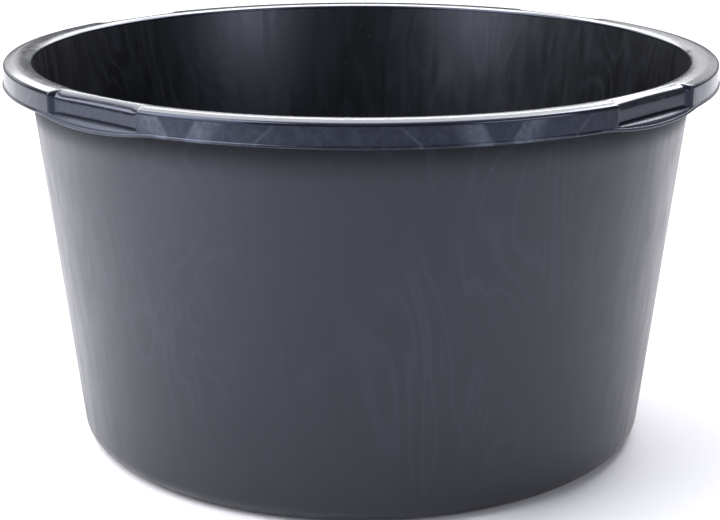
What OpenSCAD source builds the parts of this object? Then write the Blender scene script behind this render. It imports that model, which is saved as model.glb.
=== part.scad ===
// Round mortar mixing tub with a down-turned rim and four recessed hand grips.
// Millimetres, +Z up. The origin is the centre of the plane that the tub stands on.
// The real tub is one moulding. Each node is one region of it, with a plain name, and
// neighbouring regions meet face to face.

/* [Body] */
// Height from the base plane to the top of the rim
tub_h = 366; // [300:1:420]
// Diameter over the hem, the widest part of the tub
hem_d = 670; // [666:1:690]
// Diameter of the mouth, inside the rim
mouth_d = 616; // [600:1:620]
// Outer radius of the wall, carried down to the base plane
base_r = 272; // [240:1:285]
// Thickness of the wall, measured level
wall_t = 4.5; // [3:0.1:5]
// Outer radius of the rounded heel between the wall and the base
heel_r = 20; // [10:1:30]

/* [Base] */
// Thickness of the floor
floor_t = 4; // [3:0.1:6]
// Height of the floor panel above the plane that the tub stands on
floor_lift = 3; // [1.5:0.5:6]
// Width of the flat ring that the tub stands on
stand_w = 18; // [12:1:30]
// Diameter of the stub left by the moulding gate
gate_d = 12; // [6:1:20]

/* [Rim] */
// Width of the gentle bevel outside the flat top
bevel_w = 8; // [4:0.5:9]
// Drop of the bevel across its width
bevel_drop = 1.1; // [0.6:0.1:2]
// Radius of the outer edge, between the bevel and the skirt
edge_r = 3; // [2:0.5:4]
// Radius of the inner edge, round the mouth
mouth_edge_r = 2.5; // [1:0.5:2.5]
// Height of the collar, from the top of the rim to the lower edge of the hem
collar_h = 22; // [16:0.5:30]
// Thickness of the skirt
skirt_t = 3.5; // [2.5:0.1:4]
// How far the hem stands proud of the skirt
hem_out = 1.5; // [0.5:0.1:2.5]
// Height of the hem
hem_h = 3; // [2:0.1:4]

/* [Grips] */
// Length of a grip's flat panel
grip_l = 108; // [90:1:116]
// Depth of the panel behind the skirt, at its middle
grip_depth = 8.8; // [6:0.1:9]
// How far the hem drops under the middle of a grip
grip_drop = 4.5; // [2:0.5:7]
// Length of the stretch over which the hem drops
drop_l = 152; // [140:1:170]

/* [Ribs] */
// Ribs under the rim between one grip and the next
rib_count = 7; // [3:1:9]
// Thickness of a rib
rib_t = 2.5; // [1.5:0.1:3]
// Height of the ribs' lower edges above the lower edge of the hem
rib_clear = 2; // [0:0.5:4]

/* [Hidden] */
$fn = 180;

// The body's wall: a straight draft from the base plane to the mouth.
mouth_r = mouth_d / 2;
draft = (mouth_r + wall_t - base_r) / tub_h;
draft_angle = atan(draft);
wall_n = wall_t * cos(draft_angle);

// The heel's arcs share one centre, and touch the base plane and the wall.
heel_cr = base_r + draft * heel_r - heel_r / cos(draft_angle);
stand_in = heel_cr - stand_w;

// Levels of the rim, from the top down.
bevel_z = tub_h - bevel_drop;
under_z = bevel_z - edge_r;
hem_z = tub_h - collar_h;
shelf_z = hem_z + hem_h;

// Radii of the rim, from the hem inwards.
hem_r = hem_d / 2;
skirt_r = hem_r - hem_out;
skirt_in = skirt_r - skirt_t;
panel_r = skirt_r - grip_depth;
panel_in = panel_r - skirt_t;

// A grip's stretch of the skirt, with its two end returns.
grip_w = grip_l + 2 * skirt_t;
// The arc that the hem follows as it drops under a grip.
drop_r = (drop_l * drop_l / 4 + grip_drop * grip_drop) / (2 * grip_drop);

// The outermost ribs stand just clear of the grips' end returns.
rib_end_gap = 10;
rib_half_span = 45 - asin((grip_w / 2 + rib_end_gap) / skirt_in);

// Cutting shapes reach past the tub by this much.
over = 60;

FRONT = -90;
RIGHT = 0;
BACK = 90;
LEFT = 180;
FRONT_RIGHT = -45;
BACK_RIGHT = 45;
BACK_LEFT = 135;
FRONT_LEFT = -135;
GRIP_ANGLES = [FRONT_RIGHT, BACK_RIGHT, BACK_LEFT, FRONT_LEFT];

// Radius of the wall's outer face at a height.
function wall_out(z) = base_r + draft * z;

// Radius of the wall's inner face at a height.
function wall_in(z) = wall_out(z) - wall_t;

// ---- Shapes that several regions share ----

// A quarter of the plan, centred on one side of the tub.
module quarter(angle) {
    rotate(angle + 45)
        mirror([0, 1])
            square(hem_r + over);
}

// The stretch of the plan that belongs to one grip.
module grip_strip(angle, width) {
    rotate(angle)
        translate([0, -width / 2])
            square([hem_r + over, width]);
}

// The plan's four grip strips.
module all_grip_strips(width) {
    for (angle = GRIP_ANGLES) grip_strip(angle, width);
}

// The plan outside a flat at one distance from the axis, at each grip.
module all_grip_flats(distance, width) {
    for (angle = GRIP_ANGLES)
        rotate(angle)
            translate([distance, -width / 2])
                square([over, width]);
}

// A ring of the plan.
module ring(outer, inner) {
    difference() {
        circle(outer);
        circle(inner);
    }
}

// Plan of the skirt, with its four recessed panels and their end returns.
module skirt_plan() {
    difference() {
        circle(skirt_r);
        all_grip_flats(panel_r, grip_l);
        difference() {
            circle(skirt_in);
            all_grip_flats(panel_in, grip_w);
        }
    }
}

// The rim plate's section, from the axis to an outer edge at this radius.
module rim_section(outer) {
    bevel_out = outer - edge_r;
    polygon([[0, under_z], [bevel_out, under_z], [bevel_out, bevel_z],
        [bevel_out - bevel_w, tub_h], [0, tub_h]]);
    translate([bevel_out, under_z])
        intersection() {
            circle(edge_r);
            square(edge_r);
        }
}

// The mouth's section: the inside of the rim plate, with its rounded edge.
module mouth_section() {
    edge_z = tub_h - mouth_edge_r;
    polygon([[0, under_z - 1], [wall_in(under_z - 1), under_z - 1],
        [wall_in(edge_z), edge_z], [wall_in(edge_z), tub_h + 1], [0, tub_h + 1]]);
    translate([wall_in(edge_z), edge_z])
        difference() {
            square([mouth_edge_r, mouth_edge_r + 1]);
            translate([mouth_edge_r, 0]) circle(mouth_edge_r);
        }
}

// A face seen from outside a grip, extruded outwards through the skirt.
module through_grip(angle) {
    rotate([0, 0, angle])
        translate([panel_in - over, 0, 0])
            rotate([90, 0, 90])
                linear_extrude(2 * over + grip_depth)
                    children();
}

// Everything above the hem's dropped edge, raised by a step.
module above_drop(step) {
    intersection() {
        translate([-drop_l / 2, hem_z - grip_drop])
            square([drop_l, grip_drop + hem_h]);
        translate([0, hem_z - grip_drop + drop_r + step])
            circle(drop_r, $fn = 720);
    }
}

// ---- Regions of the tub ----

// The flat bottom, raised clear of the ground inside the stand ring.
module floor_panel() {
    color("#303137")
        translate([0, 0, floor_lift])
            cylinder(h = floor_t, r = stand_in);
}

// The trimmed stub of the moulding gate, under the middle of the floor.
module gate_stub() {
    stub_h = floor_lift / 3;
    color("#3a3b41")
        translate([0, 0, floor_lift - stub_h])
            cylinder(h = stub_h, d = gate_d);
}

// The flat ring that meets the ground, with the step up to the floor panel.
module stand_ring() {
    color("#38393f")
        rotate_extrude()
            polygon([[stand_in, 0], [heel_cr, 0], [heel_cr, floor_t],
                [stand_in + floor_t, floor_t],
                [stand_in + floor_t, floor_lift + floor_t],
                [stand_in, floor_lift + floor_t]]);
}

// The rounded corner between the base and the wall.
module heel() {
    reach = 2 * heel_r;
    color("#46474e")
        rotate_extrude()
            translate([heel_cr, heel_r])
                intersection() {
                    difference() {
                        circle(heel_r);
                        circle(heel_r - wall_n);
                    }
                    polygon([[0, 0], [0, -reach], [reach, -reach],
                        [reach * cos(draft_angle), -reach * sin(draft_angle)]]);
                }
}

// The tapered wall, from the heel up to the underside of the rim.
module wall() {
    foot_out = [heel_cr + heel_r * cos(draft_angle),
        heel_r - heel_r * sin(draft_angle)];
    foot_in = [heel_cr + (heel_r - wall_n) * cos(draft_angle),
        heel_r - (heel_r - wall_n) * sin(draft_angle)];
    color("#414249")
        rotate_extrude()
            polygon([foot_in, foot_out, [wall_out(under_z), under_z],
                [wall_in(under_z), under_z]]);
}

// The rim's top plate, which narrows to follow the recessed grips.
module rim_top() {
    color("#55565d")
        difference() {
            rotate_extrude()
                difference() {
                    rim_section(skirt_r);
                    mouth_section();
                }
            for (angle = GRIP_ANGLES)
                rotate([0, 0, angle])
                    rotate([90, 0, 0])
                        linear_extrude(grip_l, center = true)
                            difference() {
                                translate([panel_r - edge_r - bevel_w, under_z - 1])
                                    square([over, edge_r + bevel_drop + 2]);
                                rim_section(panel_r);
                                translate([0, under_z - 2])
                                    square([panel_r, 2]);
                            }
        }
}

// The upright skirt between one grip and the next.
module skirt(side) {
    color("#4a4c54")
        translate([0, 0, shelf_z])
            linear_extrude(under_z - shelf_z)
                difference() {
                    intersection() {
                        skirt_plan();
                        quarter(side);
                    }
                    all_grip_strips(grip_w);
                }
}

// The stiffened lower edge of the skirt between one grip and the next.
module hem(side) {
    color("#3c3e45")
        translate([0, 0, hem_z])
            linear_extrude(hem_h)
                difference() {
                    intersection() {
                        ring(hem_r, skirt_in);
                        quarter(side);
                    }
                    all_grip_strips(drop_l);
                }
}

// A grip's flat recessed panel, with the returns that join it to the skirt.
module grip_panel(angle) {
    color("#5d606a")
        translate([0, 0, shelf_z])
            linear_extrude(under_z - shelf_z)
                intersection() {
                    skirt_plan();
                    grip_strip(angle, grip_w);
                }
}

// A grip's level ledge, with the hem that drops in an arc below it.
module grip_ledge(angle) {
    color("#6a6d77") {
        translate([0, 0, hem_z])
            linear_extrude(hem_h)
                intersection() {
                    grip_strip(angle, grip_w);
                    ring(skirt_r, 0);
                    rotate(angle)
                        translate([panel_in, -grip_w / 2])
                            square([over, grip_w]);
                }
        intersection() {
            translate([0, 0, hem_z - grip_drop])
                linear_extrude(grip_drop + hem_h)
                    ring(skirt_r, skirt_in);
            through_grip(angle) above_drop(0);
        }
        intersection() {
            translate([0, 0, hem_z - grip_drop])
                linear_extrude(grip_drop + hem_h)
                    ring(hem_r, skirt_r);
            through_grip(angle)
                difference() {
                    above_drop(0);
                    above_drop(hem_h);
                }
        }
    }
}

// The ribs between the wall and the skirt, under one side of the rim.
module rim_ribs(side) {
    rib_z = hem_z + rib_clear;
    color("#34363c")
        intersection() {
            rotate_extrude()
                polygon([[wall_out(rib_z), rib_z], [skirt_in, rib_z],
                    [skirt_in, under_z], [wall_out(under_z), under_z]]);
            for (i = [0 : rib_count - 1])
                rotate([0, 0, side + rib_half_span * (2 * i / (rib_count - 1) - 1)])
                    translate([mouth_r - over, -rib_t / 2, rib_z])
                        cube([2 * over, rib_t, under_z - rib_z]);
        }
}

floor_panel();
gate_stub();
stand_ring();
heel();
wall();
rim_top();
skirt(FRONT);  // skirt_front
skirt(RIGHT);  // skirt_right
skirt(BACK);  // skirt_back
skirt(LEFT);  // skirt_left
hem(FRONT);  // hem_front
hem(RIGHT);  // hem_right
hem(BACK);  // hem_back
hem(LEFT);  // hem_left
grip_panel(FRONT_RIGHT);  // grip_panel_front_right
grip_panel(BACK_RIGHT);  // grip_panel_back_right
grip_panel(BACK_LEFT);  // grip_panel_back_left
grip_panel(FRONT_LEFT);  // grip_panel_front_left
grip_ledge(FRONT_RIGHT);  // grip_ledge_front_right
grip_ledge(BACK_RIGHT);  // grip_ledge_back_right
grip_ledge(BACK_LEFT);  // grip_ledge_back_left
grip_ledge(FRONT_LEFT);  // grip_ledge_front_left
rim_ribs(FRONT);  // rim_ribs_front
rim_ribs(RIGHT);  // rim_ribs_right
rim_ribs(BACK);  // rim_ribs_back
rim_ribs(LEFT);  // rim_ribs_left
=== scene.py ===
"""A round mortar mixing tub in black high-density polyethylene, moulded in one piece.

Each visible piece stands for one region of the moulding and replaces the frame's node of the
same name. Its main sizes are read from the frame; finer ones are given below in millimetres.
"""

import math
from collections import namedtuple

import bmesh
import bpy
import numpy as np
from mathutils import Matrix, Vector


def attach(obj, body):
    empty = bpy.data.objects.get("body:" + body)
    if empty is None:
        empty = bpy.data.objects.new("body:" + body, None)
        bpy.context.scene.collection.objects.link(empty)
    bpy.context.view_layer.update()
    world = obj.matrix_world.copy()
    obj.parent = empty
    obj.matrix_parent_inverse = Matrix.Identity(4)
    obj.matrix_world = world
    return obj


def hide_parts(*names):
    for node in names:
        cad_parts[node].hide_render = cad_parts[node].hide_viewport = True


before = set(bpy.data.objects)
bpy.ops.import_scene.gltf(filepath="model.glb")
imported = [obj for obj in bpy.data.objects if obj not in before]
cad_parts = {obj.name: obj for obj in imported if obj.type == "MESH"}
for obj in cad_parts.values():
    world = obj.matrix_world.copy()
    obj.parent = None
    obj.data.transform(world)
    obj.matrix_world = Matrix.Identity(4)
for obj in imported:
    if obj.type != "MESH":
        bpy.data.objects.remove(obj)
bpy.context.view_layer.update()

MM = 0.001
FACET_GAP = 0.05       # keeps the hem's bead inside the frame's flat-sided mesh

# The middle of each side and of each grip, in degrees round from +X.
SIDES = {"front": -90, "right": 0, "back": 90, "left": 180}
GRIPS = {"front_right": -45, "back_right": 45, "back_left": 135, "front_left": 225}

# The grip at the start and at the end of each side, going round the same way.
GRIP_BEFORE = {"front": "front_left", "right": "front_right", "back": "back_right",
               "left": "back_left"}
GRIP_AFTER = {"front": "front_right", "right": "back_right", "back": "back_left",
              "left": "front_left"}


# ---- Sizes read from the frame, in millimetres ----

def frame_points(node):
    """The corners of a frame node's mesh."""
    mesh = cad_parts[node].data
    co = np.empty(len(mesh.vertices) * 3)
    mesh.vertices.foreach_get("co", co)
    return co.reshape(-1, 3) / MM


def radii(node):
    """Smallest and largest distance of a frame node from the tub's axis."""
    p = frame_points(node)
    r = np.hypot(p[:, 0], p[:, 1])
    return r.min(), r.max()


def levels(node):
    """Lowest and highest level of a frame node."""
    z = frame_points(node)[:, 2]
    return z.min(), z.max()


def reach(node, angle):
    """Smallest and largest distance of a frame node along a level direction."""
    p = frame_points(node)
    a = math.radians(angle)
    d = p[:, 0] * math.cos(a) + p[:, 1] * math.sin(a)
    return d.min(), d.max()


under_z, top_z = levels("rim_top")
hem_z, shelf_z = levels("hem_front")
skirt_in, skirt_r = radii("skirt_front")
hem_r = radii("hem_front")[1] - FACET_GAP
wall_top_out = radii("wall")[1]
wall_foot_z = levels("wall")[0]
heel_cr, heel_out = radii("heel")
stand_in = radii("stand_ring")[0]
floor_under, floor_top = levels("floor_panel")
floor_t = floor_top - floor_under
gate_under = levels("gate_stub")[0]
gate_r = radii("gate_stub")[1]
panel_in = reach("grip_panel_front_right", GRIPS["front_right"])[0]
grip_half = reach("grip_panel_front_right", GRIPS["front_right"] + 90)[1]
drop_half = reach("grip_ledge_front_right", GRIPS["front_right"] + 90)[1]
drop = hem_z - levels("grip_ledge_front_right")[0]
skirt_t = skirt_r - skirt_in
panel_r = panel_in + skirt_t
wall_t = wall_top_out - radii("rim_top")[0]
draft = (wall_top_out - heel_out) / (under_z - wall_foot_z)
draft_angle = math.atan(draft)
wall_square = wall_t * math.cos(draft_angle)     # thickness measured square to the wall
heel_r = wall_foot_z / (1 - math.sin(draft_angle))
rib_low = levels("rim_ribs_front")[0]


def wall_out(z):
    """Radius of the wall's outer face at a level."""
    return wall_top_out + draft * (z - under_z)


def wall_in(z):
    """Radius of the wall's inner face at a level."""
    return wall_out(z) - wall_t


# ---- Finer sizes, in millimetres ----

BEVEL_W = 8.0          # gentle fall outside the flat top of the rim
BEVEL_DROP = 1.1
CROWN_W = 8.5          # gentle rise inside it, from the mouth
CROWN_DROP = 1.3
BEVEL_SHARE = 0.5      # most of the rim's width that the bevel may take, where it is narrow
CROWN_SHARE = 0.44     # and the crown
EDGE_R = 3.0           # rounding between the bevel and the skirt
MOUTH_R = 2.2          # rounding round the mouth
DOWNSTAND = 0.6        # how far the rim's top piece turns down over the skirt
RETURN_W = 6.5         # width of the rounded step at each end of a grip's panel
GROOVE_H = 1.5         # undercut along the foot of a panel
GROOVE_D = 2.2
GROOVE_FADE = (45.0, 51.0)     # where the undercut fades out, from the panel's middle
DROP_SHARE = 0.87      # share of a ledge's length under which the hem hangs in an arc
DROP_SOFTEN = 0.16     # how gently that arc runs out into the level hem
LEDGE_FALL = 4.0       # how far a ledge rounds down towards its outer edge
LEDGE_ROUND = 0.75     # share of a ledge's depth that is rounded
FALL_SHARE = 0.9       # most of the arc's drop that the rounding may take
PANEL_SHOULDER = 3.6   # how much further down the rim's shoulder comes over a panel
SHOULDER_OUT = 0.45    # level handle of the shoulder's curve, as a share of its width
SHOULDER_DOWN = 0.42   # depth of its upright handle's end, as a share of its height
SHOULDER_RATE = 1.6    # how soon it opens out at a panel's ends
HEEL_LAP = 2.0         # how far the heel's piece runs up the wall and in under the base
STEP_R = 1.4           # rounding of the step between the ground ring and the floor panel
PIT_R = 1.6            # shallow pit in the trimmed gate stub
PIT_D = 0.5
FINE_R = 0.5           # smallest rounding left by the mould
RIB_COUNT = 7          # ribs under each side of the rim
RIB_T = 2.5
RIB_ARCH = 2.5         # how far a rib's lower edge arches up
RIB_END_GAP = 10.0     # from a grip's panel to the nearest rib
RIB_EDGE = 0.4         # rounding of a rib's edges

SIDE_STATIONS = 56     # how finely a side of the rim is divided
TURN_STATIONS = 360    # and a full turn of the wall and the base
SAME_PLACE = 0.05      # stations closer than this are taken as one
SHARP_ANGLE = 35       # corners of this many degrees or more stay sharp
MERGE_M = 1e-7         # mesh corners closer than this, in metres, are joined

Station = namedtuple("Station", "angle radius across drop")


# ---- Stations round the rim ----

def grip_outline(across):
    """Distance of the skirt's face from the axis, square to a grip's panel, at a place across it."""
    round_skirt = math.sqrt(skirt_r ** 2 - across ** 2)
    start = grip_half - skirt_t - RETURN_W / 2
    u = min(max((abs(across) - start) / RETURN_W, 0.0), 1.0)
    step = u * u * (3 - 2 * u)
    return panel_r + (round_skirt - panel_r) * step


def hem_drop(across):
    """How far the hem hangs below its usual level at a place across a grip."""
    u = 1.0 - (across / (DROP_SHARE * drop_half)) ** 2
    if u <= -DROP_SOFTEN:
        return 0.0
    if u < DROP_SOFTEN:
        u = (u + DROP_SOFTEN) ** 2 / (4 * DROP_SOFTEN)
    return drop * u


def grip_stations(grip):
    """Stations across one grip, close together at the two ends of its panel."""
    ends = grip_half - skirt_t
    fine = np.linspace(-RETURN_W / 2, RETURN_W / 2, 19)
    places = np.concatenate([
        np.linspace(-drop_half, -grip_half, 9),
        -ends + fine, ends + fine,
        np.linspace(-ends + RETURN_W / 2, ends - RETURN_W / 2, 37),
        np.linspace(grip_half, drop_half, 9)])
    made = []
    for across in np.unique(np.round(places, 4)):
        square = grip_outline(across)
        angle = math.radians(GRIPS[grip]) + math.atan2(across, square)
        made.append(Station(angle, math.hypot(square, across), across, hem_drop(across)))
    return made


def side_stations(side, first, last):
    """Evenly spaced stations along one side's round skirt, between two angles from its middle."""
    middle = math.radians(SIDES[side])
    return [Station(middle + a, skirt_r, None, 0.0)
            for a in np.linspace(first, last, SIDE_STATIONS)]


def angle_off_side(across):
    """Angle from the middle of a side to a place across the grip beside it."""
    return math.radians(45) - math.atan2(across, grip_outline(across))


def whole_rim():
    """Stations all the way round, in order, with no repeats."""
    edge = angle_off_side(drop_half)
    made = []
    for side in SIDES:
        made += side_stations(side, -edge, edge)[1:-1]
        made += grip_stations(GRIP_AFTER[side])
    return made


# ---- Meshes ----

def arc(centre_r, centre_z, radius, first, last, count):
    """Points of an arc in a section; angles in degrees, 0 outwards and 90 upwards."""
    return [(centre_r + radius * math.cos(math.radians(a)),
             centre_z + radius * math.sin(math.radians(a)))
            for a in np.linspace(first, last, count)]


def sweep(name, stations, section, closed):
    """A solid made by carrying a closed section (radius, level) round the axis."""
    rings = [section(s) for s in stations]
    n = len(rings[0])
    verts = [(r * math.cos(s.angle) * MM, r * math.sin(s.angle) * MM, z * MM)
             for s, ring in zip(stations, rings) for r, z in ring]
    count = len(stations)
    faces = []
    for i in range(count if closed else count - 1):
        a, b = i * n, ((i + 1) % count) * n
        for k in range(n):
            m = (k + 1) % n
            faces.append((a + k, b + k, b + m, a + m))
    if not closed:
        faces.append(tuple(range(n)))
        faces.append(tuple((count - 1) * n + k for k in reversed(range(n))))
    return solid(name, verts, faces)


def solid(name, verts, faces):
    """A smooth-shaded mesh object that keeps its sharp corners."""
    mesh = bpy.data.meshes.new(name)
    mesh.from_pydata(verts, [], faces)
    mesh.validate()
    bm = bmesh.new()
    bm.from_mesh(mesh)
    bmesh.ops.remove_doubles(bm, verts=bm.verts, dist=MERGE_M)
    bmesh.ops.recalc_face_normals(bm, faces=bm.faces)
    bm.to_mesh(mesh)
    bm.free()
    mesh.shade_smooth()
    mesh.set_sharp_from_angle(angle=math.radians(SHARP_ANGLE))
    piece = bpy.data.objects.new(name, mesh)
    bpy.context.scene.collection.objects.link(piece)
    weights = piece.modifiers.new("even shading", "WEIGHTED_NORMAL")
    weights.keep_sharp = True
    weights.weight = 50
    return piece


# ---- Sections of the moulding ----

def groove_depth(across):
    """Depth of the undercut along a panel's foot, which fades out before the panel's ends."""
    fade_from, fade_to = GROOVE_FADE
    u = min(max((fade_to - abs(across)) / (fade_to - fade_from), 0.0), 1.0)
    return GROOVE_D * u * u * (3 - 2 * u)


def over_panel(s):
    """0 on the round skirt, 1 over a grip's panel."""
    return min(1.0, SHOULDER_RATE * (skirt_r - s.radius) / (skirt_r - panel_r))


def edge_foot(s):
    """Level where the rim's rounded shoulder meets the upright face below it."""
    return under_z - PANEL_SHOULDER * over_panel(s)


def rim_top_section(s):
    """Top face, crowned from the mouth to its rounded outer edge, and turned down a little there.

    Over a panel the edge opens out into a round shoulder.
    """
    mouth_z = top_z - CROWN_DROP - MOUTH_R
    mouth = wall_in(under_z)
    rise_from = mouth + MOUTH_R
    foot = edge_foot(s)
    bevel_out = s.radius - EDGE_R
    room = bevel_out - rise_from
    crown_w, bevel_w = min(CROWN_W, CROWN_SHARE * room), min(BEVEL_W, BEVEL_SHARE * room)
    flat_end = bevel_out - bevel_w
    edge_from = 90 - math.degrees(math.atan(2 * BEVEL_DROP / bevel_w))
    u = np.linspace(0.0, 1.0, 7)
    sharp = ([(flat_end + bevel_w * k, top_z - BEVEL_DROP * k * k) for k in u[:-1]]
             + arc(bevel_out, under_z, EDGE_R, edge_from, 0, 13))
    wide, high = s.radius - flat_end, top_z - foot
    shoulder = [(flat_end + wide * (3 * SHOULDER_OUT * k * (1 - k) ** 2
                                    + 3 * k * k * (1 - k) + k ** 3),
                 top_z - high * (3 * SHOULDER_DOWN * k * k * (1 - k) + k ** 3))
                for k in np.linspace(0.0, 1.0, len(sharp))]
    t = over_panel(s)
    edge = [(a + (c - a) * t, b + (d - b) * t) for (a, b), (c, d) in zip(sharp, shoulder)]
    return ([(mouth, under_z), (mouth, mouth_z)]
            + arc(rise_from, mouth_z, MOUTH_R, 180, 107, 7)[1:-1]
            + [(rise_from + crown_w * k, top_z - CROWN_DROP * (1 - k) ** 2) for k in u]
            + edge
            + [(s.radius, foot - DOWNSTAND), (s.radius - skirt_t, foot - DOWNSTAND),
               (s.radius - skirt_t, under_z)])


def skirt_section(s):
    """Upright skirt."""
    zs = np.linspace(edge_foot(s) - DOWNSTAND, shelf_z, 5)
    return [(s.radius, z) for z in zs] + [(s.radius - skirt_t, z) for z in zs[::-1]]


def bead(low):
    """The hem's half-round bead, from its top, at the skirt, down to its underside."""
    half_h = (shelf_z - hem_z) / 2
    return [(skirt_r + (hem_r - skirt_r) * math.cos(a), low + half_h * (1 + math.sin(a)))
            for a in np.linspace(math.pi / 2, -math.pi / 2, 13)]


def hem_section(s):
    """Lower edge of the skirt, thickened by its bead."""
    return [(skirt_in, shelf_z)] + bead(hem_z) + [(skirt_in, hem_z)]


def panel_section(s):
    """Recessed panel, undercut along its foot."""
    depth = groove_depth(s.across)
    brow = shelf_z + GROOVE_H * min(1.0, depth / FINE_R)
    high = edge_foot(s) - DOWNSTAND
    return [(s.radius, high), (s.radius, brow + FINE_R),
            (s.radius - min(FINE_R, depth) / 2, brow), (s.radius - depth, brow),
            (s.radius - depth, shelf_z), (s.radius - skirt_t, shelf_z),
            (s.radius - skirt_t, high)]


def ledge_section(s):
    """Level ledge in front of a panel, and the lip that hangs below it with the hem's bead."""
    low = hem_z - s.drop
    inner = s.radius - skirt_t
    wide = LEDGE_ROUND * (skirt_r - s.radius)
    fall = min(LEDGE_FALL, FALL_SHARE * s.drop)
    return ([(inner, shelf_z)]
            + [(skirt_r - wide * (1 - math.cos(a)), shelf_z - fall * (1 - math.sin(a)))
               for a in np.linspace(math.pi / 2, 0.0, 10)]
            + bead(low)
            + [(skirt_in, low), (skirt_in, hem_z), (inner, hem_z)])


def wall_section(s):
    """Tapered wall between the heel and the rim."""
    zs = np.linspace(wall_foot_z + HEEL_LAP, under_z, 30)
    return [(wall_out(z), z) for z in zs] + [(wall_in(z), z) for z in zs[::-1]]


def heel_section(s):
    """Rounded corner between the base and the wall."""
    lean = -math.degrees(draft_angle)
    high = wall_foot_z + HEEL_LAP
    return ([(heel_cr - HEEL_LAP, 0.0)]
            + arc(heel_cr, heel_r, heel_r, -90, lean, 18)
            + [(wall_out(high), high), (wall_in(high), high)]
            + arc(heel_cr, heel_r, heel_r - wall_square, lean, -90, 14)
            + [(heel_cr - HEEL_LAP, floor_t)])


def stand_ring_section(s):
    """Flat ring on the ground, stepping up to the floor panel inside it."""
    step_out = stand_in + floor_t
    return ([(heel_cr - HEEL_LAP, 0.0)]
            + arc(stand_in + STEP_R, STEP_R, STEP_R, -90, -180, 6)
            + [(stand_in, floor_top)]
            + arc(step_out - STEP_R, floor_top - STEP_R, STEP_R, 90, 0, 6)
            + arc(step_out + STEP_R, floor_t + STEP_R, STEP_R, 180, 270, 6)
            + [(heel_cr - HEEL_LAP, floor_t)])


def floor_section(s):
    """Flat floor panel."""
    rs = np.linspace(0.0, stand_in, 14)
    return [(r, floor_top) for r in rs] + [(r, floor_under) for r in rs[::-1]]


def gate_section(s):
    """Trimmed gate stub, with a shallow pit at its middle."""
    edge = FINE_R / 2
    return ([(0.0, floor_under), (gate_r, floor_under)]
            + arc(gate_r - edge, gate_under + edge, edge, 0, -90, 4)
            + [(PIT_R + PIT_D, gate_under), (PIT_R, gate_under + PIT_D),
               (0.0, gate_under + PIT_D)])


def rib_mesh(name, side):
    """The ribs of one side, each a thin gusset with an arched lower edge."""
    half_span = 45 - math.degrees(math.asin((grip_half + RIB_END_GAP) / skirt_in))
    u = np.linspace(0.0, 1.0, 11)
    inner, outer = wall_out(rib_low), skirt_in
    outline = [(inner + (outer - inner) * k, rib_low + RIB_ARCH * 4 * k * (1 - k)) for k in u]
    outline += [(skirt_in, under_z), (wall_out(under_z), under_z)]
    n = len(outline)
    verts, faces = [], []
    for i in range(RIB_COUNT):
        a = math.radians(SIDES[side] + half_span * (2 * i / (RIB_COUNT - 1) - 1))
        along, out = (-math.sin(a), math.cos(a)), (math.cos(a), math.sin(a))
        start = len(verts)
        for half in (-RIB_T / 2, RIB_T / 2):
            for r, z in outline:
                square = math.sqrt(r * r - half * half)
                verts.append(((square * out[0] + half * along[0]) * MM,
                              (square * out[1] + half * along[1]) * MM, z * MM))
        faces.append(tuple(start + k for k in range(n)))
        faces.append(tuple(start + n + k for k in reversed(range(n))))
        for k in range(n):
            m = (k + 1) % n
            faces.append((start + k, start + n + k, start + n + m, start + m))
    piece = solid(name, verts, faces)
    soften = piece.modifiers.new("mould radius", "BEVEL")
    soften.width = RIB_EDGE * MM
    soften.segments = 2
    soften.limit_method = "ANGLE"
    piece.modifiers.move(1, 0)
    return piece


# ---- Materials ----

# Sizes of the patterns, in millimetres.
STREAK = 14.0          # width of the streaks
FLOW_SWIRL = 90.0      # size of the swirls that the flow lines follow
FLOW_PATCH = 120.0     # size of the patches where they show
SPECK_GAP = 9.0        # distance between dust specks
UNDER_RIM_SHADE_BAND = 38.0      # width of the band of painted shade under the rim
UNDER_RIM_SHADE_EDGE = 4.0       # the band is at its fullest this far under the hem
BLOTCH = 7.0           # size of the rubbed blotches on the skirt

# Noise values between which a pattern goes from its low to its high end.
STREAK_SPAN = (0.35, 0.65)
PATCH_SPAN = (0.42, 0.62)
RUB_SPAN = (0.4, 0.7)
UNEVEN_SPAN = (0.3, 0.6)

HDPE_IOR = 1.54
STREAK_SQUEEZE = 0.16  # upright scale of the streaks: about six times as long as wide
FLOW_SQUEEZE = 0.3     # and of the flow lines
FLOW_TURNS = 75.0      # radians of the lines' wave over the full range of a swirl
FLOW_FROM = 0.2        # height on that wave where a line begins to show
SPECK_R = (0.05, 0.10)         # a speck's radius, solid and faded, as a share of its cell
NO_SPECK = 0.72        # share of the cells that hold no speck
INSIDE_SHARE = 0.8     # how far the colour goes towards black inside and in the painted shade under the rim
UNDER_RIM_SHADE_ROUGH = 0.85     # roughness in the band of painted shade under the rim
RUB = 0.22             # strength of the blotchy rub on the skirt
LEAST_SHOWN = 0.35     # strength of the marks where they are most broken up
SKIRT_GAP = 0.3        # the marks stop this far under the rim's top plate, in millimetres

# The skirt's pale marks, painted partly for scuffing and partly for the light they pick up, in
# degrees round the tub.
MARK_AT = -73.75       # middle of one mark
MARK_STEP = 45.0
MARK_LEAN = 1.6        # how far a mark's sides lean over the skirt's height
MARK_INNER = (1.1, 1.7)        # from the mark's middle to where its pale part begins
MARK_OUTER = (3.4, 6.4)        # and to where that fades away
LINE_AT = 11.4         # from the mark's middle to the thin line beside it
LINE_LEAN = 2.8
LINE_HALF = (0.1, 0.5)         # half the thin line's width, solid and faded
LINE_STRENGTH = 0.5

FLOW_COLOUR = "#383c46"
SPECK_COLOUR = "#3a3d45"
# Black for the inner face, and for the painted shade under the rim.
INSIDE_AND_SHADE_BLACK = "#060608"
# Pale tone of the skirt's rub and marks. In the marks it is partly scuffing and partly painted light
# from above.
SCUFF_AND_SHEEN_COLOUR = "#454952"


def linear(text):
    """An sRGB hex colour as a linear RGBA tuple."""
    parts = [int(text[i:i + 2], 16) / 255 for i in (1, 3, 5)]
    return tuple(c / 12.92 if c <= 0.04045 else ((c + 0.055) / 1.055) ** 2.4
                 for c in parts) + (1.0,)


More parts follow.
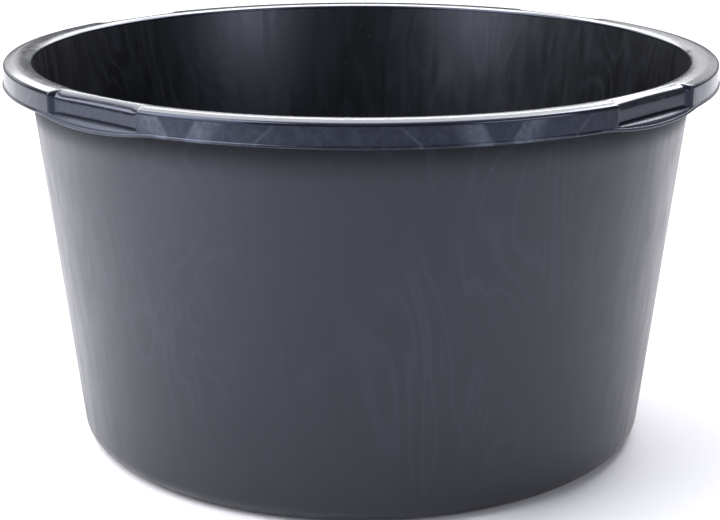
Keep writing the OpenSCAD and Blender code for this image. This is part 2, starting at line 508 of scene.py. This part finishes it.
def add(tree, kind, inputs, **settings):
    """Adds a node, sets its properties, and gives each input a value or a link."""
    made = tree.nodes.new(kind)
    for key, value in settings.items():
        setattr(made, key, value)
    for key, value in inputs.items():
        if isinstance(value, bpy.types.NodeSocket):
            tree.links.new(value, made.inputs[key])
        else:
            made.inputs[key].default_value = value
    return made


def hdpe(name, deep, pale, rough_low, rough_high, tint, grain_mm, grain_depth, marks=None,
         flow=0.0):
    """Black high-density polyethylene, injection moulded.

    Long soft streaks run with the draw of the mould, and change the sheen and the blue-black
    tint a little. A fine grain breaks up the reflections. The wall also has the wavy flow lines
    of a large shot, a few dust specks, a blacker inner face and a painted shade in a band under the
    rim; the skirt has pale marks, painted for scuffing and for the light their rougher face picks
    up.
    """
    material = bpy.data.materials.new(name)
    material.use_nodes = True
    tree = material.node_tree
    tree.nodes.clear()
    place = add(tree, "ShaderNodeTexCoord", {}).outputs["Object"]
    drawn = add(tree, "ShaderNodeMapping", {"Vector": place, "Scale": (1.0, 1.0, STREAK_SQUEEZE)})
    streaks = add(tree, "ShaderNodeTexNoise",
                  {"Vector": drawn.outputs["Vector"], "Scale": 1 / (STREAK * MM),
                   "Detail": 3.0, "Roughness": 0.55, "Distortion": 0.6})
    grain = add(tree, "ShaderNodeTexNoise",
                {"Vector": place, "Scale": 1 / (grain_mm * MM), "Detail": 2.0})
    rough = add(tree, "ShaderNodeMapRange",
                {"Value": streaks.outputs["Fac"], "From Min": STREAK_SPAN[0],
                 "From Max": STREAK_SPAN[1], "To Min": rough_low, "To Max": rough_high})
    colour = add(tree, "ShaderNodeMix",
                 {0: streaks.outputs["Fac"], 6: linear(deep), 7: linear(pale)},
                 data_type="RGBA").outputs[2]
    if flow:
        # On the wall: blacker inside, and a painted shade under the rim, where it is also made
        # rougher.
        colour, under_rim_shade = wall_tone(tree, place, colour)
        colour = flow_lines(tree, place, colour, flow)
        rough = add(tree, "ShaderNodeMapRange",
                    {"Value": under_rim_shade, "To Min": rough.outputs["Result"],
                     "To Max": UNDER_RIM_SHADE_ROUGH})
    if marks:
        colour = skirt_marks(tree, place, colour, marks)
    bump = add(tree, "ShaderNodeBump",
               {"Height": grain.outputs["Fac"], "Distance": grain_depth * MM, "Strength": 1.0})
    shader = add(tree, "ShaderNodeBsdfPrincipled",
                 {"Base Color": colour, "Roughness": rough.outputs["Result"],
                  "Normal": bump.outputs["Normal"], "IOR": HDPE_IOR,
                  "Specular Tint": linear(tint)})
    add(tree, "ShaderNodeOutputMaterial", {"Surface": shader.outputs["BSDF"]})
    return material


def flow_lines(tree, place, colour, strength):
    """Wavy upright lines, like flames, that fade in and out, with a few pale dust specks."""
    upright = add(tree, "ShaderNodeMapping", {"Vector": place, "Scale": (1.0, 1.0, FLOW_SQUEEZE)})
    swirl = add(tree, "ShaderNodeTexNoise",
                {"Vector": upright.outputs["Vector"], "Scale": 1 / (FLOW_SWIRL * MM),
                 "Detail": 2.0, "Roughness": 0.5, "Distortion": 0.8})
    turns = add(tree, "ShaderNodeMath", {0: swirl.outputs["Fac"], 1: FLOW_TURNS},
                operation="MULTIPLY")
    wave = add(tree, "ShaderNodeMath", {0: turns.outputs[0]}, operation="SINE")
    line = add(tree, "ShaderNodeMapRange", {"Value": wave.outputs[0], "From Min": FLOW_FROM})
    region = add(tree, "ShaderNodeTexNoise",
                 {"Vector": place, "Scale": 1 / (FLOW_PATCH * MM), "Detail": 1.0})
    seen = add(tree, "ShaderNodeMapRange",
               {"Value": region.outputs["Fac"], "From Min": PATCH_SPAN[0],
                "From Max": PATCH_SPAN[1], "To Max": strength})
    faint = add(tree, "ShaderNodeMath", {0: line.outputs["Result"], 1: seen.outputs["Result"]},
                operation="MULTIPLY")
    cell = add(tree, "ShaderNodeTexVoronoi", {"Vector": place, "Scale": 1 / (SPECK_GAP * MM)})
    dot = add(tree, "ShaderNodeMapRange",
              {"Value": cell.outputs["Distance"], "From Min": SPECK_R[0],
               "From Max": SPECK_R[1], "To Min": 1.0, "To Max": 0.0})
    few = add(tree, "ShaderNodeSeparateColor", {"Color": cell.outputs["Color"]})
    chosen = add(tree, "ShaderNodeMath", {0: few.outputs["Red"], 1: NO_SPECK},
                 operation="GREATER_THAN")
    speck = add(tree, "ShaderNodeMath", {0: dot.outputs["Result"], 1: chosen.outputs[0]},
                operation="MULTIPLY")
    lined = add(tree, "ShaderNodeMix",
                {0: faint.outputs[0], 6: colour, 7: linear(FLOW_COLOUR)}, data_type="RGBA")
    return add(tree, "ShaderNodeMix",
               {0: speck.outputs[0], 6: lined.outputs[2], 7: linear(SPECK_COLOUR)},
               data_type="RGBA").outputs[2]


def wall_tone(tree, place, colour):
    """Blacker inside, and outside a painted shade in a band under the rim's overhang.

    Gives back the colour, and where the outer band of painted shade is.
    """
    axes = add(tree, "ShaderNodeSeparateXYZ", {"Vector": place}).outputs
    level = add(tree, "ShaderNodeCombineXYZ", {"X": axes["X"], "Y": axes["Y"]})
    away = add(tree, "ShaderNodeVectorMath", {0: level.outputs["Vector"]}, operation="LENGTH")
    upright = add(tree, "ShaderNodeMath",
                  {0: axes["Z"], 1: -draft, 2: away.outputs["Value"]}, operation="MULTIPLY_ADD")
    middle = wall_out(0.0) - wall_t / 2
    inside = add(tree, "ShaderNodeMath", {0: upright.outputs[0], 1: middle * MM},
                 operation="LESS_THAN")
    # Painted shade: the wall's colour is darkened in a band just under the rim's overhang.
    under_rim_shade = add(tree, "ShaderNodeMapRange",
                {"Value": axes["Z"], "From Min": (hem_z - UNDER_RIM_SHADE_BAND) * MM,
                 "From Max": (hem_z - UNDER_RIM_SHADE_EDGE) * MM}, interpolation_type="SMOOTHSTEP")
    black = add(tree, "ShaderNodeMath", {0: inside.outputs[0], 1: under_rim_shade.outputs["Result"]},
                operation="MAXIMUM")
    share = add(tree, "ShaderNodeMath", {0: black.outputs[0], 1: INSIDE_SHARE},
                operation="MULTIPLY")
    toned = add(tree, "ShaderNodeMix",
                {0: share.outputs[0], 6: colour, 7: linear(INSIDE_AND_SHADE_BLACK)}, data_type="RGBA")
    band = add(tree, "ShaderNodeMath", {0: under_rim_shade.outputs["Result"], 1: inside.outputs[0]},
               operation="SUBTRACT", use_clamp=True)
    return toned.outputs[2], band.outputs[0]


def skirt_marks(tree, place, colour, pale):
    """Nested trapezoid marks that repeat round the skirt, painted pale for scuffing and for the
    light their rougher face picks up from above, and a blotchy rub over them.
    """
    axes = add(tree, "ShaderNodeSeparateXYZ", {"Vector": place}).outputs
    turn = add(tree, "ShaderNodeMath", {0: axes["Y"], 1: axes["X"]}, operation="ARCTAN2")
    degrees = add(tree, "ShaderNodeMath", {0: turn.outputs[0], 1: 180 / math.pi},
                  operation="MULTIPLY")
    shifted = add(tree, "ShaderNodeMath", {0: degrees.outputs[0], 1: MARK_AT},
                  operation="SUBTRACT")
    around = add(tree, "ShaderNodeMath", {0: shifted.outputs[0], 1: MARK_STEP / 2},
                 operation="PINGPONG")
    up = add(tree, "ShaderNodeMapRange",
             {"Value": axes["Z"], "From Min": shelf_z * MM, "From Max": under_z * MM})
    lean = add(tree, "ShaderNodeMath",
               {0: up.outputs["Result"], 1: -MARK_LEAN, 2: around.outputs[0]},
               operation="MULTIPLY_ADD")
    inner = add(tree, "ShaderNodeMapRange",
                {"Value": lean.outputs[0], "From Min": MARK_INNER[0], "From Max": MARK_INNER[1]})
    outer = add(tree, "ShaderNodeMapRange",
                {"Value": lean.outputs[0], "From Min": MARK_OUTER[0], "From Max": MARK_OUTER[1],
                 "To Min": 1.0, "To Max": 0.0})
    zone = add(tree, "ShaderNodeMath", {0: inner.outputs["Result"], 1: outer.outputs["Result"]},
               operation="MULTIPLY")
    far_lean = add(tree, "ShaderNodeMath",
                   {0: up.outputs["Result"], 1: -LINE_LEAN, 2: around.outputs[0]},
                   operation="MULTIPLY_ADD")
    off_line = add(tree, "ShaderNodeMath", {0: far_lean.outputs[0], 1: LINE_AT},
                   operation="SUBTRACT")
    from_line = add(tree, "ShaderNodeMath", {0: off_line.outputs[0]}, operation="ABSOLUTE")
    line = add(tree, "ShaderNodeMapRange",
               {"Value": from_line.outputs[0], "From Min": LINE_HALF[0],
                "From Max": LINE_HALF[1], "To Min": LINE_STRENGTH, "To Max": 0.0})
    # Painted light: the marks and the thin line are made pale to stand in for light that their
    # scuffed face catches.
    mark = add(tree, "ShaderNodeMath", {0: zone.outputs[0], 1: line.outputs["Result"]},
               operation="MAXIMUM")
    blotch = add(tree, "ShaderNodeTexNoise",
                 {"Vector": place, "Scale": 1 / (BLOTCH * MM), "Detail": 4.0, "Roughness": 0.65})
    rub = add(tree, "ShaderNodeMapRange",
              {"Value": blotch.outputs["Fac"], "From Min": RUB_SPAN[0],
               "From Max": RUB_SPAN[1], "To Max": RUB})
    uneven = add(tree, "ShaderNodeMapRange",
                 {"Value": blotch.outputs["Fac"], "From Min": UNEVEN_SPAN[0],
                  "From Max": UNEVEN_SPAN[1], "To Min": LEAST_SHOWN, "To Max": 1.0})
    shown = add(tree, "ShaderNodeMath", {0: mark.outputs[0], 1: uneven.outputs["Result"]},
                operation="MULTIPLY")
    both = add(tree, "ShaderNodeMath", {0: shown.outputs[0], 1: rub.outputs["Result"]},
               operation="MAXIMUM")
    on_skirt = add(tree, "ShaderNodeMath", {0: axes["Z"], 1: (under_z - SKIRT_GAP) * MM},
                   operation="LESS_THAN")
    kept = add(tree, "ShaderNodeMath", {0: both.outputs[0], 1: on_skirt.outputs[0]},
               operation="MULTIPLY")
    return add(tree, "ShaderNodeMix", {0: kept.outputs[0], 6: colour, 7: linear(pale)},
               data_type="RGBA").outputs[2]


# Satin black with a blue tinge: streaked, with faint flame-like lines, blackest inside, and a
# painted shade under the rim.
wall_plastic = hdpe("injection-moulded HDPE wall", "#141417", "#1e1f23", 0.28, 0.38, "#e6ecff",
                    1.2, 0.01, flow=0.16)
# The glossiest part: a sharp light line along the top, and pale marks and rub on the skirt, the
# marks partly scuffing and partly painted light.
rim_plastic = hdpe("injection-moulded HDPE rim", "#0b0d12", "#13161c", 0.13, 0.20, "#d2dbff",
                   2.5, 0.02, marks=SCUFF_AND_SHEEN_COLOUR)
# Flat panels that stand out from the glossy rim by their duller, slightly paler face.
grip_plastic = hdpe("fine matt HDPE grip", "#15171d", "#24272f", 0.22, 0.30, "#d2dbff",
                    1.5, 0.008)
# Greyer still, where fingers and gloves wear it, so each ledge reads as a pale step.
ledge_plastic = hdpe("hand-rubbed HDPE ledge", "#1a1d23", "#31353e", 0.34, 0.42, "#d2dbff",
                     1.5, 0.008)
# Dull and even under the tub and on the floor inside it.
base_plastic = hdpe("turned HDPE base", "#131316", "#1a1a1e", 0.38, 0.46, "#e4eaff",
                    1.2, 0.012)


# ---- Pieces ----

def finish_piece(piece, node, material):
    """Gives a piece its material and puts it in a frame node's place."""
    piece.data.materials.append(material)
    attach(piece, "root")
    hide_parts(node)


rim = whole_rim()
full_turn = [Station(a, 0.0, None, 0.0)
             for a in np.linspace(0, 2 * math.pi, TURN_STATIONS, endpoint=False)]

for node, section, slot, material in (
        ("floor_panel", floor_section, "base_hdpe", base_plastic),
        ("stand_ring", stand_ring_section, "base_hdpe", base_plastic),
        ("gate_stub", gate_section, "base_hdpe", base_plastic),
        ("heel", heel_section, "wall_hdpe", wall_plastic),
        ("wall", wall_section, "wall_hdpe", wall_plastic)):
    finish_piece(sweep("tub_" + node, full_turn, section, True), node, material)
finish_piece(sweep("tub_rim_top", rim, rim_top_section, True), "rim_top",
             rim_plastic)


side_edge = angle_off_side(drop_half)
for side in SIDES:
    middle = side_stations(side, -side_edge, side_edge)
    before = [s for s in grip_stations(GRIP_BEFORE[side]) if s.across >= grip_half - SAME_PLACE]
    after = [s for s in grip_stations(GRIP_AFTER[side]) if s.across <= SAME_PLACE - grip_half]
    run = before + middle[1:-1] + after
    finish_piece(sweep("tub_skirt_" + side, run, skirt_section, False), "skirt_" + side,
                 rim_plastic)
    finish_piece(sweep("tub_hem_" + side, middle, hem_section, False), "hem_" + side,
                 rim_plastic)
    finish_piece(rib_mesh("tub_rim_ribs_" + side, side), "rim_ribs_" + side,
                 rim_plastic)

for grip in GRIPS:
    across = grip_stations(grip)
    panel = [s for s in across if abs(s.across) <= grip_half + SAME_PLACE]
    finish_piece(sweep("tub_grip_panel_" + grip, panel, panel_section, False),
                 "grip_panel_" + grip, grip_plastic)
    finish_piece(sweep("tub_grip_ledge_" + grip, across, ledge_section, False),
                 "grip_ledge_" + grip, ledge_plastic)


# ---- Floor, light and camera ----

def card(name, centre, size, aim, strength, tint="#ffffff"):
    """A soft light: a flat lit card that faces a point."""
    data = bpy.data.lights.new(name, "AREA")
    data.shape = "RECTANGLE"
    data.size, data.size_y = size
    data.energy = strength * math.pi * size[0] * size[1]
    data.color = linear(tint)[:3]
    lamp = bpy.data.objects.new(name, data)
    lamp.location = centre
    lamp.rotation_euler = (Vector(aim) - Vector(centre)).to_track_quat("-Z", "Y").to_euler()
    bpy.context.scene.collection.objects.link(lamp)
    lamp.visible_camera = False


FLOOR_HALF = 12.0                    # half the floor's width, in metres
GROUND = -0.0002                     # just clear of the base

floor_mesh = bpy.data.meshes.new("studio floor")
floor_mesh.from_pydata([(x * FLOOR_HALF, y * FLOOR_HALF, GROUND)
                        for x, y in ((-1, -1), (1, -1), (1, 1), (-1, 1))], [], [(0, 1, 2, 3)])
studio_floor = bpy.data.objects.new("studio floor", floor_mesh)
bpy.context.scene.collection.objects.link(studio_floor)
paper = bpy.data.materials.new("white paper floor")
paper.use_nodes = True
paper_shader = paper.node_tree.nodes["Principled BSDF"].inputs
paper_shader["Base Color"].default_value = linear("#e6e6ea")
paper_shader["Roughness"].default_value = 0.9
floor_mesh.materials.append(paper)

# Centre, width and height, and the point faced, all in metres; then the strength.
card("rear strip", (0.0, 0.8, 0.70), (1.1, 0.20), (0.0, 0.0, 0.7), 5.0)
card("rear left softbox", (-1.4, 1.8, 0.92), (1.6, 0.64), (-1.1, 0.0, 0.92), 1.1)
card("rear right softbox", (1.4, 1.8, 0.92), (1.6, 0.64), (1.1, 0.0, 0.92), 1.0)
card("over the back", (0.0, 2.7, 2.4), (5.0, 2.6), (0.0, 2.7, 0.0), 3.6)
card("overhead softbox", (0.0, 0.1, 2.3), (3.0, 2.0), (0.0, 0.1, 0.0), 1.1)
card("left softbox", (-1.6, -0.4, 1.5), (1.5, 2.2), (-1.2, -0.4, 0.0), 6.5)
card("left strip", (-1.9, 0.25, 0.95), (0.5, 0.6), (0.0, -0.2, 0.4), 2.4)
card("right softbox", (0.9, 0.9, 1.4), (0.8, 0.8), (0.55, 0.45, 0.0), 9.0)
card("front left softbox", (-1.6, -1.3, 0.85), (1.1, 0.9), (0.0, 0.0, 0.3), 4.4, "#f4f6ff")
card("front right softbox", (1.45, -1.5, 0.85), (1.1, 0.9), (0.0, 0.0, 0.3), 4.4, "#f4f6ff")

world = bpy.data.worlds.new("studio")
bpy.context.scene.world = world
world.use_nodes = True
backdrop = world.node_tree.nodes["Background"].inputs
backdrop["Color"].default_value = linear("#f0f1f6")
backdrop["Strength"].default_value = 0.25

CAMERA_TURN = math.radians(3.05)     # the camera stands this far left of straight in front
CAMERA_TILT = 0.2881                 # looking down, in radians
CAMERA_AWAY = 1.595                  # level distance from the tub's axis, in metres
CAMERA_UP = 0.6305                   # height above the ground
CAMERA_LENS = 84.55
ASIDE = 0.001                        # the tub's axis stands a little right of the middle

camera_data = bpy.data.cameras.new("camera")
camera_data.lens = CAMERA_LENS
camera_data.sensor_width = 36.0
camera = bpy.data.objects.new("camera", camera_data)
forward = Vector((math.sin(CAMERA_TURN), math.cos(CAMERA_TURN), 0.0))
rightward = Vector((math.cos(CAMERA_TURN), -math.sin(CAMERA_TURN), 0.0))
camera.location = -CAMERA_AWAY * forward - ASIDE * rightward + Vector((0, 0, CAMERA_UP))
look = forward * math.cos(CAMERA_TILT) - Vector((0, 0, math.sin(CAMERA_TILT)))
camera.rotation_mode = "QUATERNION"
camera.rotation_quaternion = look.to_track_quat("-Z", "Y")
bpy.context.scene.collection.objects.link(camera)
bpy.context.scene.camera = camera
bpy.context.scene.view_settings.view_transform = "Standard"
